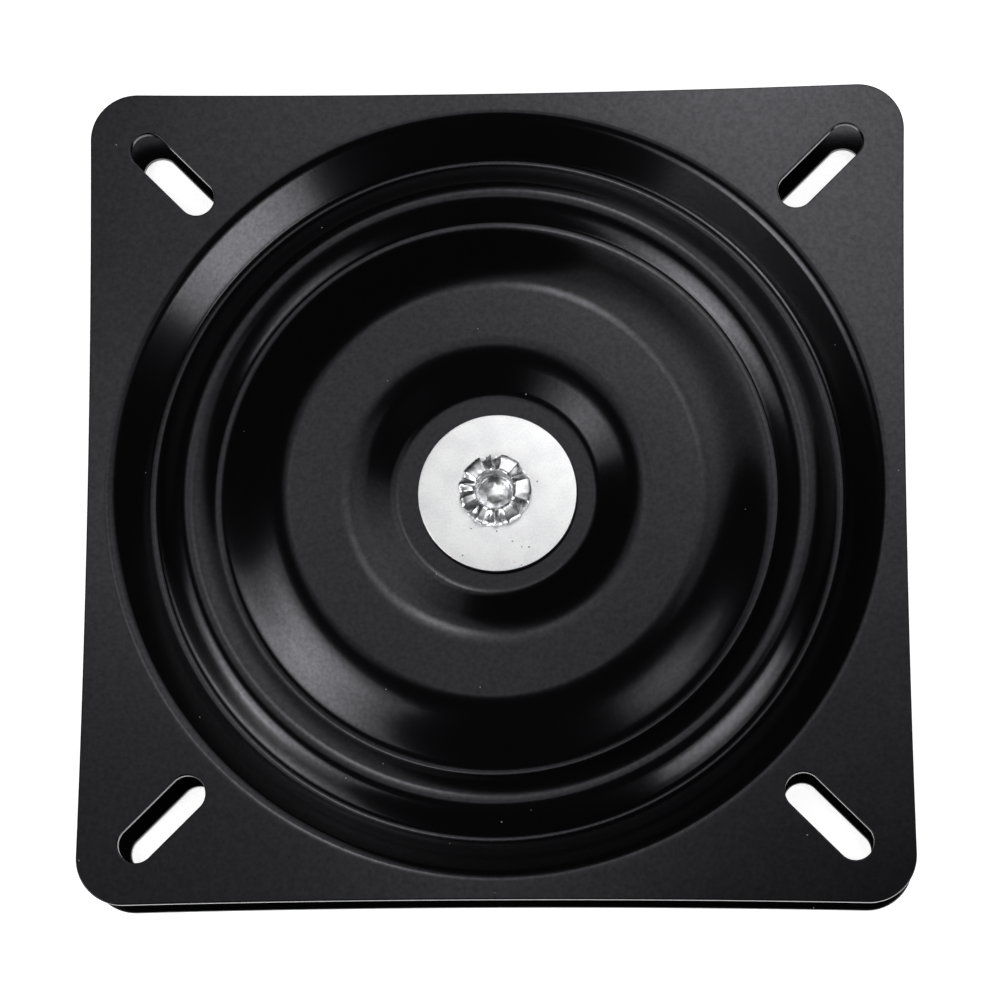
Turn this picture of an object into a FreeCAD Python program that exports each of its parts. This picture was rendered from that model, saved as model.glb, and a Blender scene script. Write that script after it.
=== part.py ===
import FreeCAD, Part
import math
import os

import Sketcher

# A square lazy susan bearing: two like pressed steel plates, one turned over on the
# other, that turn on a ring of caged balls and are held together by one centre rivet.
# The origin is the middle of the lower plate's flat mounting face, +Z is the swivel axis,
# and the sides of the plates lie along X and Y. All sizes are in millimetres.

# Each row is an alias, its value and what it measures.
DRIVING_SIZES = [
    ("total_height", 22.0, "lower mounting face to upper mounting face"),
    ("plate_side", 178.0, "square plate over its rounded corners"),
    ("corner_radius", 10.0, "rounding of the plate corners"),
    ("side_bow", 0.9, "how far pressing draws the middle of each side inwards"),
    ("sheet_thickness", 2.0, "steel sheet"),
    ("edge_round", 0.4, "rounding of the plate's cut outer edge"),
    ("slot_width", 7.8, "mounting slot width"),
    ("slot_corner_web", 10.1, "steel between a slot's outer end and the plate corner"),
    ("slot_rim_web", 3.0, "steel between a slot's inner end and the dish"),
    ("race_inset", 21.9, "straight side of the plate to the ball centres"),
    ("outer_flank_tilt", 50, "outer flank of the race ridge, in degrees from level"),
    ("outer_flank_run", 0.6, "straight part of that flank"),
    ("inner_flank_tilt", 38, "inner flank of the race ridge, in degrees from level"),
    ("inner_flank_run", 1.25, "straight part of that flank"),
    ("trough_bend", 2.0, "bend at the bottom of the grooves beside the ridge, on their visible side"),
    ("inner_trough_flat", 0.5, "flat bottom of the inner groove"),
    ("rim_run", 10.2, "rim to the bottom line of the outer groove"),
    ("rim_bend", 4.0, "bend of the rim, on its visible side"),
    ("flange_lap", 1.0, "flat round the rim that is pressed with the dish"),
    ("ball_diameter", 9.525, "ball"),
    ("ball_count", 28, "balls in the ring"),
    ("ball_play", 0.04, "gap between a ball and each race, upwards or downwards"),
    ("race_relief", 0.24, "how much rounder the race is than the ball"),
    ("ring_drop", 0.7, "raised flat ring below the mounting face"),
    ("seat_depth", 4.9, "flat washer seat below the mounting face"),
    ("seat_margin", 3.5, "edge of a washer to the edge of its seat"),
    # inside the race every radius and bend grows with the race and is a share of its radius
    ("cone_foot_bend", 0.09, "bend from the inner groove up to the raised ring"),
    ("ring_outer_edge", 0.658, "outer edge of the raised flat ring"),
    ("ring_outer_bend", 0.142, "bend at that edge"),
    ("ring_inner_edge", 0.508, "inner edge of the raised flat ring"),
    ("ring_inner_bend", 0.224, "bend at that edge"),
    ("seat_edge", 0.310, "edge of the washer seat"),
    ("seat_bend", 0.075, "bend round the seat"),
    ("cage_border", 1.2, "cage wall between a ball window and either edge of the ring"),
    ("cage_thickness", 1.8, "ball cage"),
    ("cage_play", 0.14, "gap between a ball and its window"),
    ("shank_radius", 5.5, "rivet shank"),
    ("shank_play", 0.05, "running gap between the shank and the plate holes"),
    ("washer_thickness", 1.8, "rivet washers"),
    ("washer_round", 0.25, "rounding of the washer's punched edge"),
    ("head_radius", 8.5, "factory head of the rivet"),
    ("head_height", 2.5, "factory head of the rivet"),
    ("head_round", 1.6, "rounding of the factory head"),
    ("crimp_radius", 8.0, "star crimp of the rivet"),
    ("crimp_height", 2.7, "star crimp above its washer"),
    ("crimp_top_radius", 5.3, "crown of the star crimp"),
    ("crimp_foot_height", 0.8, "upright outer edge of the star crimp"),
    ("shoulder_round", 0.6, "rounding of the crimp's outer shoulder"),
    ("crown_round", 0.5, "rounding of the crimp's crown"),
    ("tail_bore_radius", 3.8, "blind hole in the rivet's tail"),
    ("tail_bore_depth", 4.0, "blind hole below the crown, at its wall"),
    ("tail_bore_dome", 0.7, "how far the bottom of the blind hole rises to its middle"),
    ("crimp_lip_drop", 0.6, "mouth of the blind hole below the crown"),
    ("petal_count", 7, "petals of the star crimp"),
    ("crease_depth", 2.0, "creases between the petals below the crown"),
    ("crease_width", 2.2, "creases between the petals, at the crown"),
]

VERTICAL_AXIS = FreeCAD.Vector(0, 0, 1)
CROSS_AXIS = FreeCAD.Vector(1, 0, 0)
QUARTER_TURN = 90
HALF_TURN = 180
FULL_TURN = 360
PLATE_CORNERS = 4

doc = FreeCAD.newDocument("lazy_susan_bearing")


def make_size_sheet():
    """Writes the driving sizes into the sheet that every expression reads."""
    sheet = doc.addObject("Spreadsheet::Sheet", "sizes")
    for row, (alias, value, meaning) in enumerate(DRIVING_SIZES, start=1):
        sheet.set(f"A{row}", meaning)
        sheet.set(f"B{row}", str(value))
        sheet.setAlias(f"B{row}", alias)
    doc.recompute()
    return sheet


sizes = make_size_sheet()


def value_of(expression):
    """The present value of an expression that names sizes of the sheet."""
    return float(sizes.evalExpression(expression))


# Heights and places that follow from the driving sizes.
BALL_RADIUS = "(sizes.ball_diameter / 2)"
RACE_RADIUS = "(sizes.plate_side / 2 - sizes.race_inset)"
RACE_LEVEL = f"(-sizes.total_height / 2 + {BALL_RADIUS} + sizes.ball_play + sizes.sheet_thickness)"
CREST_BEND = f"({BALL_RADIUS} + sizes.race_relief + sizes.sheet_thickness)"
HOLE_RADIUS = "(sizes.shank_radius + sizes.shank_play)"
CORNER_CENTRE = "(sizes.plate_side / 2 - sizes.corner_radius)"
SIDE_ARC_SQUARES = f"({CORNER_CENTRE} ^ 2 + sizes.side_bow ^ 2)"
SIDE_ARC_RADIUS = f"({SIDE_ARC_SQUARES} / (2 * sizes.side_bow) - sizes.corner_radius)"
WASHER_RADIUS = f"({RACE_RADIUS} * sizes.seat_edge - sizes.seat_margin)"
LOWER_SEAT_LEVEL = "sizes.seat_depth"
UPPER_SEAT_LEVEL = "(sizes.total_height - sizes.seat_depth)"
CRIMP_BASE = f"({UPPER_SEAT_LEVEL} + sizes.washer_thickness)"
CRIMP_SHOULDER = f"({CRIMP_BASE} + sizes.crimp_foot_height)"
CRIMP_CROWN = f"({CRIMP_BASE} + sizes.crimp_height)"


def groove_beside_race(side, tilt, run):
    """The bottom line of a groove that a flank of the race ridge runs down to, tangent to both bends.

    Returns the line's radius and its level below the mounting face.
    """
    reach = f"({CREST_BEND} + sizes.trough_bend)"
    across = f"({RACE_RADIUS} {side} {reach} * sin({tilt}) {side} {run} * cos({tilt}))"
    rise = f"({reach} * cos({tilt}) - {run} * sin({tilt}))"
    return across, f"({RACE_LEVEL} - {CREST_BEND} + {rise} - sizes.trough_bend)"


OUTER_TROUGH = groove_beside_race("+", "sizes.outer_flank_tilt", "sizes.outer_flank_run")
INNER_TROUGH = groove_beside_race("-", "sizes.inner_flank_tilt", "sizes.inner_flank_run")
CONE_FOOT = f"({INNER_TROUGH[0]} - sizes.inner_trough_flat)"
RIM_RADIUS = f"({OUTER_TROUGH[0]} + sizes.rim_run)"
DISH_RADIUS = f"({RIM_RADIUS} + sizes.flange_lap)"
SLOT_START = f"({DISH_RADIUS} + sizes.slot_rim_web + sizes.slot_width / 2)"
CORNER_REACH = f"({CORNER_CENTRE} * sqrt(2) + sizes.corner_radius)"
SLOT_END = f"({CORNER_REACH} - sizes.slot_corner_web - sizes.slot_width / 2)"


def origin_feature(body, role):
    """One of the body's own origin planes or axes."""
    return next(item for item in body.Origin.OriginFeatures if item.Role == role)


def add_sketch(body, name, plane_role):
    """An empty sketch on one of the body's own origin planes."""
    sketch = body.newObject("Sketcher::SketchObject", name)
    sketch.AttachmentSupport = [(origin_feature(body, plane_role), "")]
    sketch.MapMode = "FlatFace"
    return sketch


def drive(sketch, name, kind, *place_and_expression):
    """Adds a named sketch dimension and ties it to an expression."""
    *place, expression = place_and_expression
    index = sketch.addConstraint(Sketcher.Constraint(kind, *place, value_of(expression)))
    sketch.renameConstraint(index, name)
    sketch.setExpression(f"Constraints.{name}", expression)


def pin_point(sketch, name, item, point, across, up):
    """Fixes one sketch point at the given expressions from the sketch origin."""
    drive(sketch, f"{name}_across", "DistanceX", -1, 1, item, point, across)
    drive(sketch, f"{name}_up", "DistanceY", -1, 1, item, point, up)


def add_circle(sketch, name, radius):
    """A circle about the sketch origin."""
    item = sketch.addGeometry(Part.Circle(FreeCAD.Vector(), VERTICAL_AXIS, value_of(radius)))
    sketch.addConstraint(Sketcher.Constraint("Coincident", item, 3, -1, 1))
    drive(sketch, f"{name}_radius", "Radius", item, radius)
    return item


def add_polygon(sketch, corners):
    """A closed outline of straight lines through named corners, each pinned by expressions."""
    points = [FreeCAD.Vector(value_of(across), value_of(up), 0) for _, across, up in corners]
    items = []
    for start, end in zip(points, points[1:] + points[:1]):
        items.append(sketch.addGeometry(Part.LineSegment(start, end)))
    for item, following in zip(items, items[1:] + items[:1]):
        sketch.addConstraint(Sketcher.Constraint("Coincident", item, 2, following, 1))
    for item, (name, across, up) in zip(items, corners):
        pin_point(sketch, name, item, 1, across, up)
    return items


def make_revolution(body, name, sketch):
    """Turns a sketch's section once round the body's vertical axis."""
    revolution = body.newObject("PartDesign::Revolution", name)
    revolution.Profile = sketch
    revolution.ReferenceAxis = (sketch, ["V_Axis"])
    revolution.Angle = FULL_TURN
    return revolution


def make_pad(body, name, sketch, length, downwards=False, both_ways=False):
    """Pads a sketch by the given expression: upwards, downwards, or half each way."""
    pad = body.newObject("PartDesign::Pad", name)
    pad.Profile = sketch
    pad.setExpression("Length", length)
    pad.Reversed = downwards
    pad.Midplane = both_ways
    return pad


def make_through_cut(body, name, sketch):
    """Cuts a sketch's outline through the whole body, both ways from the sketch."""
    cut = body.newObject("PartDesign::Pocket", name)
    cut.Profile = sketch
    cut.Type = "ThroughAll"
    cut.Midplane = True
    return cut


def repeat_round_axis(body, name, feature, count):
    """Repeats a feature evenly round the body's vertical axis."""
    pattern = body.newObject("PartDesign::PolarPattern", name)
    pattern.Originals = [feature]
    pattern.Axis = (origin_feature(body, "Z_Axis"), [""])
    pattern.Angle = FULL_TURN
    pattern.setExpression("Occurrences", count)
    body.Tip = pattern
    return pattern


def round_edges(body, name, feature, picks, radius):
    """Rounds those edges of a feature that the pick function accepts."""
    doc.recompute()
    chosen = [f"Edge{i}" for i, edge in enumerate(feature.Shape.Edges, start=1) if picks(edge)]
    fillet = body.newObject("PartDesign::Fillet", name)
    fillet.Base = (feature, chosen)
    fillet.setExpression("Radius", radius)
    body.Tip = fillet
    return fillet


def is_level(edge):
    """True for an edge that lies in one horizontal plane."""
    heights = [vertex.Z for vertex in edge.Vertexes]
    return max(heights) - min(heights) < 1e-6 and edge.BoundBox.ZLength < 1e-6


class Bend:
    """One bend of the pressed section: its centre and the radius of its upper surface."""

    def __init__(self, name, across, level, radius, crowned):
        self.name = name
        self.crowned = crowned
        self.side = 1 if crowned else -1
        self.across = across
        self.up = f"{level} - {radius}" if crowned else f"{level} + {radius}"
        # the sheet's lower surface is nearer a crown's centre and further from a trough's
        lower = "-" if crowned else "+"
        self.radii = {"upper": radius, "lower": f"{radius} {lower} sizes.sheet_thickness"}

    def centre(self):
        return FreeCAD.Vector(value_of(self.across), value_of(self.up), 0)

    def signed_radius(self, surface):
        return self.side * value_of(self.radii[surface])


def pressed_bends():
    """The bends of the dish from the rim inwards, with the mounting face at level 0."""

    def share(alias):
        return f"({RACE_RADIUS} * sizes.{alias})"

    rows = [
        ("rim", RIM_RADIUS, "0", "sizes.rim_bend", True),
        ("outer_trough", *OUTER_TROUGH, "sizes.trough_bend", False),
        ("race", RACE_RADIUS, RACE_LEVEL, CREST_BEND, True),
        ("inner_trough", *INNER_TROUGH, "sizes.trough_bend", False),
        ("cone_foot", CONE_FOOT, INNER_TROUGH[1], share("cone_foot_bend"), False),
        ("ring_outer", share("ring_outer_edge"), "-sizes.ring_drop", share("ring_outer_bend"), True),
        ("ring_inner", share("ring_inner_edge"), "-sizes.ring_drop", share("ring_inner_bend"), True),
        ("seat", share("seat_edge"), "-sizes.seat_depth", share("seat_bend"), False),
    ]
    return [Bend(*row) for row in rows]


def common_normal(first, second):
    """The upward unit normal of the straight wall that runs from one bend to the next."""
    apart = first.centre() - second.centre()
    offset = second.signed_radius("upper") - first.signed_radius("upper")
    lean = math.atan2(apart.x, apart.y)
    spread = math.acos(offset / apart.Length)
    tilt = min(lean - spread, lean + spread, key=abs)
    return FreeCAD.Vector(math.sin(tilt), math.cos(tilt), 0)


def add_pressed_surface(sketch, surface, bends, normals):
    """Draws one surface of the pressed sheet as arcs joined by tangent straight walls.

    Returns the straight walls, from the rim's to the seat's.
    """
    walls = []
    arcs = []
    level = 0 if surface == "upper" else -value_of("sizes.sheet_thickness")
    seat_level = level - value_of("sizes.seat_depth")
    start = FreeCAD.Vector(value_of(DISH_RADIUS), level, 0)
    for bend, before, after in zip(bends, normals, normals[1:]):
        centre = bend.centre()
        reach = bend.signed_radius(surface)
        end = centre + before * reach
        walls.append(sketch.addGeometry(Part.LineSegment(start, end)))
        outer_angle = math.atan2(before.y * reach, before.x * reach)
        inner_angle = math.atan2(after.y * reach, after.x * reach)
        angles = (outer_angle, inner_angle) if bend.crowned else (inner_angle, outer_angle)
        circle = Part.Circle(centre, VERTICAL_AXIS, abs(reach))
        arcs.append(sketch.addGeometry(Part.ArcOfCircle(circle, *angles)))
        start = centre + after * reach
    end = FreeCAD.Vector(value_of(HOLE_RADIUS), seat_level, 0)
    walls.append(sketch.addGeometry(Part.LineSegment(start, end)))
    for bend, arc, outer_wall, inner_wall in zip(bends, arcs, walls, walls[1:]):
        outer_end, inner_end = (1, 2) if bend.crowned else (2, 1)
        sketch.addConstraint(Sketcher.Constraint("Tangent", outer_wall, 2, arc, outer_end))
        sketch.addConstraint(Sketcher.Constraint("Tangent", arc, inner_end, inner_wall, 1))
        drive(sketch, f"{bend.name}_{surface}_bend", "Radius", arc, bend.radii[surface])
        pin_point(sketch, f"{bend.name}_{surface}", arc, 3, bend.across, bend.up)
    return walls


def add_dish(body):
    """The pressed dish: one section of even thickness from the rim to the rivet hole."""
    sketch = add_sketch(body, "dish_section", "XZ_Plane")
    bends = pressed_bends()
    normals = [common_normal(first, second) for first, second in zip(bends, bends[1:])]
    level = FreeCAD.Vector(0, 1, 0)
    normals = [level, *normals, level]
    upper = add_pressed_surface(sketch, "upper", bends, normals)
    lower = add_pressed_surface(sketch, "lower", bends, normals)
    for wall in (upper[0], upper[-1], lower[0], lower[-1]):
        sketch.addConstraint(Sketcher.Constraint("Horizontal", wall))
    ends = (
        (upper[0], lower[0], 1, "rim_edge", DISH_RADIUS),
        (upper[-1], lower[-1], 2, "hole_edge", HOLE_RADIUS),
    )
    for above, below, point, name, radius in ends:
        line = Part.LineSegment(sketch.getPoint(above, point), sketch.getPoint(below, point))
        edge = sketch.addGeometry(line)
        sketch.addConstraint(Sketcher.Constraint("Coincident", edge, 1, above, point))
        sketch.addConstraint(Sketcher.Constraint("Coincident", edge, 2, below, point))
        sketch.addConstraint(Sketcher.Constraint("Vertical", edge))
        drive(sketch, f"{name}_radius", "DistanceX", -1, 1, edge, 1, radius)
    return make_revolution(body, "dish", sketch)


def add_plate_outline(body):
    """The square outline: round corners joined by sides that bow slightly inwards."""
    sketch = add_sketch(body, "plate_outline", "XY_Plane")
    corner = value_of(CORNER_CENTRE)
    corner_radius = value_of("sizes.corner_radius")
    side_radius = value_of(SIDE_ARC_RADIUS)
    side_centre = side_radius + value_of("sizes.plate_side / 2 - sizes.side_bow")
    # the arcs touch on the line between their centres
    swing = math.atan2(corner, side_centre - corner)
    corners = []
    sides = []
    for turn in range(PLATE_CORNERS):
        quarter = turn * math.pi / 2
        turned = FreeCAD.Rotation(VERTICAL_AXIS, turn * QUARTER_TURN)
        centre = turned.multVec(FreeCAD.Vector(corner, corner, 0))
        rounding = Part.Circle(centre, VERTICAL_AXIS, corner_radius)
        corner_arc = Part.ArcOfCircle(rounding, quarter - swing, quarter + math.pi / 2 + swing)
        corners.append(sketch.addGeometry(corner_arc))
        centre = turned.multVec(FreeCAD.Vector(0, side_centre, 0))
        bow = Part.Circle(centre, VERTICAL_AXIS, side_radius)
        facing = quarter + 3 * math.pi / 2
        sides.append(sketch.addGeometry(Part.ArcOfCircle(bow, facing - swing, facing + swing)))
    for rounding, side, following in zip(corners, sides, corners[1:] + corners[:1]):
        sketch.addConstraint(Sketcher.Constraint("Tangent", rounding, 2, side, 2))
        sketch.addConstraint(Sketcher.Constraint("Tangent", following, 1, side, 1))
    signs = (("", ""), ("-", ""), ("-", "-"), ("", "-"))
    for turn, (rounding, side, (across, up)) in enumerate(zip(corners, sides, signs), start=1):
        pin_point(sketch, f"corner_{turn}", rounding, 3, across + CORNER_CENTRE, up + CORNER_CENTRE)
        drive(sketch, f"corner_{turn}_radius", "Radius", rounding, "sizes.corner_radius")
        drive(sketch, f"side_{turn}_radius", "Radius", side, SIDE_ARC_RADIUS)
    return sketch


def add_slots(body):
    """Four round-ended mounting slots that run out along the diagonals."""
    sketch = add_sketch(body, "slot_outline", "XY_Plane")
    diagonal = FreeCAD.Rotation(VERTICAL_AXIS, QUARTER_TURN / 2)
    sketch.AttachmentOffset = FreeCAD.Placement(FreeCAD.Vector(), diagonal)
    half_width = "sizes.slot_width / 2"
    radius = value_of(half_width)
    inner = FreeCAD.Vector(value_of(SLOT_START), 0, 0)
    outer = FreeCAD.Vector(value_of(SLOT_END), 0, 0)
    across = FreeCAD.Vector(0, radius, 0)
    quarter = math.pi / 2
    inner_end = Part.ArcOfCircle(Part.Circle(inner, VERTICAL_AXIS, radius), quarter, 3 * quarter)
    outer_end = Part.ArcOfCircle(Part.Circle(outer, VERTICAL_AXIS, radius), -quarter, quarter)
    inner_end = sketch.addGeometry(inner_end)
    lower_side = sketch.addGeometry(Part.LineSegment(inner - across, outer - across))
    outer_end = sketch.addGeometry(outer_end)
    upper_side = sketch.addGeometry(Part.LineSegment(outer + across, inner + across))
    loop = (inner_end, lower_side, outer_end, upper_side)
    for item, following in zip(loop, loop[1:] + loop[:1]):
        sketch.addConstraint(Sketcher.Constraint("Tangent", item, 2, following, 1))
    pin_point(sketch, "inner_end", inner_end, 3, SLOT_START, "0")
    pin_point(sketch, "outer_end", outer_end, 3, SLOT_END, "0")
    drive(sketch, "slot_end_radius", "Radius", inner_end, half_width)
    slot = make_through_cut(body, "slot", sketch)
    return repeat_round_axis(body, "slots", slot, str(PLATE_CORNERS))


def make_plate(label):
    """One pressed plate, modelled with its mounting face at level 0 and its dish below."""
    body = doc.addObject("PartDesign::Body", label)
    flange = make_pad(body, "flange", add_plate_outline(body), "sizes.sheet_thickness", downwards=True)
    round_edges(body, "flange_edge", flange, is_level, "sizes.edge_round")
    opening = add_sketch(body, "dish_opening", "XY_Plane")
    add_circle(opening, "dish", DISH_RADIUS)
    make_through_cut(body, "flange_opening", opening)
    add_dish(body)
    add_slots(body)
    return body


def make_upper_plate():
    """The plate that carries the load, facing up."""
    plate = make_plate("upper_plate")
    plate.setExpression("Placement.Base.z", "sizes.total_height")
    return plate


def make_lower_plate():
    """The same pressing turned over, with its mounting face on the ground plane."""
    plate = make_plate("lower_plate")
    plate.Placement = FreeCAD.Placement(FreeCAD.Vector(), FreeCAD.Rotation(CROSS_AXIS, HALF_TURN))
    return plate


def make_ball_cage():
    """A flat moulded ring with one round window for each ball."""
    body = doc.addObject("PartDesign::Body", "ball_cage")
    ring = add_sketch(body, "ring_outline", "XY_Plane")
    radius = f"({BALL_RADIUS} + sizes.cage_play)"
    half_width = f"({radius} + sizes.cage_border)"
    add_circle(ring, "inner", f"{RACE_RADIUS} - {half_width}")
    add_circle(ring, "outer", f"{RACE_RADIUS} + {half_width}")
    make_pad(body, "ring", ring, "sizes.cage_thickness", both_ways=True)
    window = add_sketch(body, "window_outline", "XY_Plane")
    centre = FreeCAD.Vector(value_of(RACE_RADIUS), 0, 0)
    item = window.addGeometry(Part.Circle(centre, VERTICAL_AXIS, value_of(radius)))
    pin_point(window, "window", item, 3, RACE_RADIUS, "0")
    drive(window, "window_radius", "Radius", item, radius)
    cut = make_through_cut(body, "window", window)
    repeat_round_axis(body, "windows", cut, "sizes.ball_count")
    body.setExpression("Placement.Base.z", "sizes.total_height / 2")
    return body


def make_balls():
    """The balls, evenly spaced round the race at half height."""
    count = int(value_of("sizes.ball_count"))
    balls = []
    for index in range(count):
        ball = doc.addObject("Part::Sphere", f"ball_{index + 1:02d}")
        angle = f"{index} * 360 / sizes.ball_count"
        ball.setExpression("Radius", BALL_RADIUS)
        ball.setExpression("Placement.Base.x", f"{RACE_RADIUS} * cos({angle})")
        ball.setExpression("Placement.Base.y", f"{RACE_RADIUS} * sin({angle})")
        ball.setExpression("Placement.Base.z", "sizes.total_height / 2")
        balls.append(ball)
    return balls


def make_washer(label, level):
    """A punched round washer whose lower face is at the given level."""
    body = doc.addObject("PartDesign::Body", label)
    outline = add_sketch(body, "washer_outline", "XY_Plane")
    add_circle(outline, "outer", WASHER_RADIUS)
    add_circle(outline, "hole", HOLE_RADIUS)
    disc = make_pad(body, "disc", outline, "sizes.washer_thickness")
    outer_radius = value_of(WASHER_RADIUS)

    def is_outer(edge):
        return is_level(edge) and abs(edge.Curve.Radius - outer_radius) < 1e-6

    round_edges(body, "punched_edge", disc, is_outer, "sizes.washer_round")
    body.setExpression("Placement.Base.z", level)
    return body


def make_centre_rivet():
    """The semi-tubular rivet: factory head below, plain shank, star-crimped tail above."""
    body = doc.addObject("PartDesign::Body", "centre_rivet")
    head_top = f"({LOWER_SEAT_LEVEL} - sizes.washer_thickness)"
    head_bottom = f"({head_top} - sizes.head_height)"
    bore_end = f"({CRIMP_CROWN} - sizes.tail_bore_depth)"
    section = add_sketch(body, "rivet_section", "XZ_Plane")
    add_polygon(
        section,
        [
            ("head_middle", "0", head_bottom),
            ("head_lower_edge", "sizes.head_radius", head_bottom),
            ("head_upper_edge", "sizes.head_radius", head_top),
            ("shank_foot", "sizes.shank_radius", head_top),
            ("shank_top", "sizes.shank_radius", CRIMP_BASE),
            ("crimp_foot", "sizes.crimp_radius", CRIMP_BASE),
            ("crimp_shoulder", "sizes.crimp_radius", CRIMP_SHOULDER),
            ("crimp_crown", "sizes.crimp_top_radius", CRIMP_CROWN),
            ("bore_mouth", "sizes.tail_bore_radius", f"{CRIMP_CROWN} - sizes.crimp_lip_drop"),
            ("bore_end", "sizes.tail_bore_radius", bore_end),
            ("bore_middle", "0", f"{bore_end} + sizes.tail_bore_dome"),
        ],
    )
    turned = make_revolution(body, "turned_rivet", section)
    rounded = (
        ("head_edge", "sizes.head_radius", head_bottom, "sizes.head_round"),
        ("shoulder_edge", "sizes.crimp_radius", CRIMP_SHOULDER, "sizes.shoulder_round"),
        ("crown_edge", "sizes.crimp_top_radius", CRIMP_CROWN, "sizes.crown_round"),
    )
    feature = turned
    for name, radius, level, rounding in rounded:
        feature = round_edges(body, name, feature, circle_picker(radius, level), rounding)
    crease = add_sketch(body, "crease_outline", "YZ_Plane")
    top = f"{CRIMP_CROWN} + sizes.crease_depth"
    add_polygon(
        crease,
        [
            ("crease_bottom", "0", f"{CRIMP_CROWN} - sizes.crease_depth"),
            ("crease_right", "sizes.crease_width", top),
            ("crease_left", "-sizes.crease_width", top),
        ],
    )
    before = volume_of(body)
    cut = body.newObject("PartDesign::Pocket", "crease")
    cut.Profile = crease
    cut.Reversed = True
    cut.setExpression("Length", "sizes.crimp_radius * 2")
    creases = repeat_round_axis(body, "creases", cut, "sizes.petal_count")
    check_cut(before, creases)
    return body


def circle_picker(radius, level):
    """A test for the level round edge with this radius at this level."""
    wanted_radius = value_of(radius)
    wanted_level = value_of(level)

    def picks(edge):
        if not is_level(edge) or not hasattr(edge.Curve, "Radius"):
            return False
        same_radius = abs(edge.Curve.Radius - wanted_radius) < 1e-6
        return same_radius and abs(edge.Vertexes[0].Z - wanted_level) < 1e-6

    return picks


def volume_of(body):
    """The body's volume as it stands."""
    doc.recompute()
    return body.Shape.Volume


def check_cut(before, feature):
    """Stops if a cut took nothing away."""
    doc.recompute()
    if not feature.Shape.Volume < before:
        raise RuntimeError(f"{feature.Name} cuts nothing")


def check_model(nodes):
    """Stops unless every object is up to date and every piece is one valid solid."""
    for item in doc.Objects:
        if "Invalid" in item.State or "Error" in item.State:
            raise RuntimeError(f"{item.Name} failed: {item.State}")
    for node in nodes:
        shape = node.Shape
        if shape.isNull() or not shape.isValid() or len(shape.Solids) != 1:
            raise RuntimeError(f"{node.Label} isn't one valid solid")


def main():
    nodes = [make_lower_plate(), make_upper_plate(), make_ball_cage(), *make_balls()]
    nodes.append(make_washer("lower_washer", f"{LOWER_SEAT_LEVEL} - sizes.washer_thickness"))
    nodes.append(make_washer("upper_washer", UPPER_SEAT_LEVEL))
    nodes.append(make_centre_rivet())
    doc.recompute()
    check_model(nodes)
    os.makedirs("parts", exist_ok=True)
    for node in nodes:
        node.Shape.exportStep(f"parts/{node.Label}.step")
        print(f"{node.Label}: {node.Shape.Volume:.1f} mm3")


main()
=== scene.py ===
import math

import bpy
from mathutils import Matrix, Vector, noise


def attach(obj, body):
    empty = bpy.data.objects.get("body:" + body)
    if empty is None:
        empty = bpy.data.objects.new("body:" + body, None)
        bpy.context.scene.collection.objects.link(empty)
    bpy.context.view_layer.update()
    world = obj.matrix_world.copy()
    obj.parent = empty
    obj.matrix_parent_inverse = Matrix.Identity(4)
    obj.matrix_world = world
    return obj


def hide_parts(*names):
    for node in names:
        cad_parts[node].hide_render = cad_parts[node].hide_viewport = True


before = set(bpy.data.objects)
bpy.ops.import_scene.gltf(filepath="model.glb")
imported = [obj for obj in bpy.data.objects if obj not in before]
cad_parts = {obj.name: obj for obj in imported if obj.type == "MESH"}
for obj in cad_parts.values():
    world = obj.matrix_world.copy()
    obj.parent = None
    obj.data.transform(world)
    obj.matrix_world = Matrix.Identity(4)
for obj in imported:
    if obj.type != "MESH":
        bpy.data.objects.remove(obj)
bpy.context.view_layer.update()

# A square lazy susan bearing seen from above: two black coated steel pressings that
# turn on a hidden ring of caged balls, with a zinc washer and a star-crimped rivet in
# the middle. The origin is the middle of the lower mounting face, +Z is the swivel axis.

MM = 0.001

# Sizes of the pressings, in millimetres.
TOTAL_HEIGHT = 22.0
PLATE_SIDE = 177.98
CORNER_RADIUS = 10.0
CORNER_STEPS = 16
SIDE_BOW = 0.9
SIDE_CUTS = 31
SHEET = 2.0
EDGE_ROUND = 0.4
SLOT_PITCH = 141.57
SLOT_WIDTH = 7.8
SLOT_LENGTH = 23.04
RACE_RADIUS = 67.1
TROUGH_BEND = 2.0
TROUGH_FLAT = 0.5
CONE_FOOT_BEND = 6.04
RIM_RUN = 10.2
RIM_BEND = 4.0
FLANGE_LAP = 1.0
RING_DROP = 0.7
RING_OUTER_RADIUS = 44.15
RING_OUTER_BEND = 9.53
RING_INNER_RADIUS = 34.09
RING_INNER_BEND = 15.03
SEAT_RADIUS = 20.8
SEAT_BEND = 5.03
BALL_DIAMETER = 9.525
BALL_PLAY = 0.04
RACE_RELIEF = 0.24
HOLE_RADIUS = 5.55
SEAT_DEPTH = 4.9

# Tilt in degrees and straight run in millimetres of the ridge's two flanks.
OUTER_FLANK = (50, 0.6)
INNER_FLANK = (38, 1.25)

# Sizes of the rivet and its washers, in millimetres.
WASHER_RADIUS = 17.3
WASHER_THICKNESS = 1.8
WASHER_ROUND = 0.4
WASHER_BURR = 0.06
WASHER_BORE = 6.15
WASHER_SHIFT = (0.45, -0.3)
SHANK_RADIUS = 5.5
HEAD_RADIUS = 8.5
HEAD_HEIGHT = 2.5
HEAD_ROUND = 1.6
HEAD_CHAMFER = 0.1
BORE_RADIUS = 3.8
BORE_INSIDE = BORE_RADIUS - 0.05
BORE_OUTSIDE = BORE_RADIUS + 0.02
BORE_DEPTH = 3.0
DOME_TOP = -1.35
DOME_CURVE = 0.055
DOME_STEP = 0.3
DOME_RINGS = 11
BORE_RIPPLE = 0.1
BORE_RIPPLE_WIDTH = 1.25
CRIMP_FOOT = 0.3
FOLD_RADIUS = 4.2
FOLD_RUN = 3.0
PETAL_WAVE = 0.2
PETAL_WAVE_WIDTH = 2.0

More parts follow.
